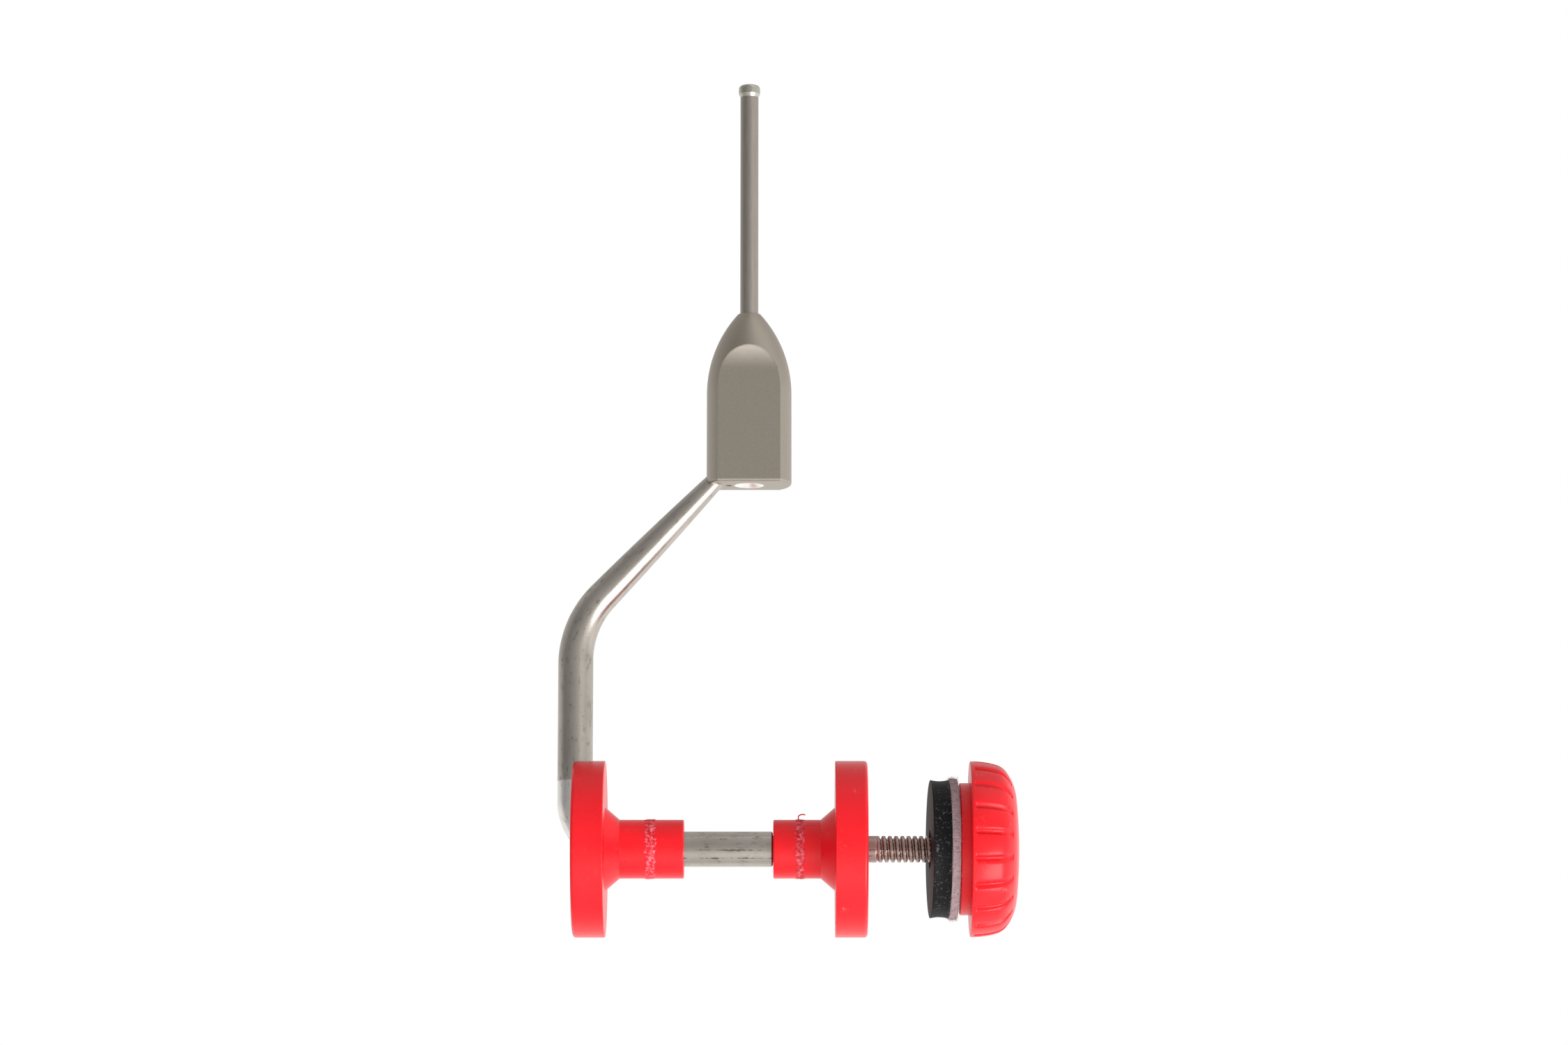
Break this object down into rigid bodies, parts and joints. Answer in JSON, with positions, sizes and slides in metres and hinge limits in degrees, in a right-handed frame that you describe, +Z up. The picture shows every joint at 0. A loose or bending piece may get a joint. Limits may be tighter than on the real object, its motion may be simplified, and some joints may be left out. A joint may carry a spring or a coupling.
{
  "type": "thread bobbin holder",
  "caption": "Fly-tying bobbin holder: bent steel rod arm, bullet-shaped head with a thread tube, two tapered spool holders on a shaft and a threaded drag knob.",
  "frame": {"origin": "centre of the thread tube's mouth, where the thread leaves", "axes": "+Z up along the tube and out of its mouth, +X along the spool shaft towards the drag knob, +Y away from the front finger flat"},
  "size_m": [0.0588, 0.0224, 0.1112],
  "materials": {
    "rod_steel": "satin, drawn rod",
    "head_steel": "bead-blasted satin",
    "tube_steel": "satin",
    "guide_steel": "polished",
    "red_plastic": "moulded, gloss",
    "black_rubber": "matt",
    "felt": "pressed felt with a frayed edge",
    "insert_brass": "machined"
  },
  "bodies": {
    "frame": {"arm": "rod_steel", "head_block": "head_steel", "thread_tube": "tube_steel", "tube_tip_guide": "guide_steel", "left_spool_holder": "red_plastic"},
    "right_holder": {"right_spool_holder": "red_plastic"},
    "drag_washer": {"felt_washer": "felt"},
    "drag_disc": {"friction_disc": "black_rubber"},
    "knob": {"drag_knob": "red_plastic", "knob_thread_insert": "insert_brass"}
  },
  "joints": [
    {"name": "spool_spin", "type": "hinge", "parent": "frame", "child": "right_holder", "pos_m": [0.009, 0, -0.1], "axis": [1, 0, 0], "continuous": true},
    {"name": "drag_travel", "type": "slide", "parent": "frame", "child": "drag_washer", "axis": [-1, 0, 0], "range_m": [0, 0.00572]},
    {"name": "disc_spin", "type": "hinge", "parent": "drag_washer", "child": "drag_disc", "pos_m": [0.0231, 0, -0.1], "axis": [0.9993, 0.0366, 0], "continuous": true},
    {"name": "knob_turn", "type": "hinge", "parent": "drag_washer", "child": "knob", "pos_m": [0.03, 0, -0.1], "axis": [-1, 0, 0], "range_deg": [0, 2592]}
  ],
  "couplings": [
    {"joint": "drag_travel", "follows": "knob_turn", "m_per_rad": 0.00012633}
  ]
}
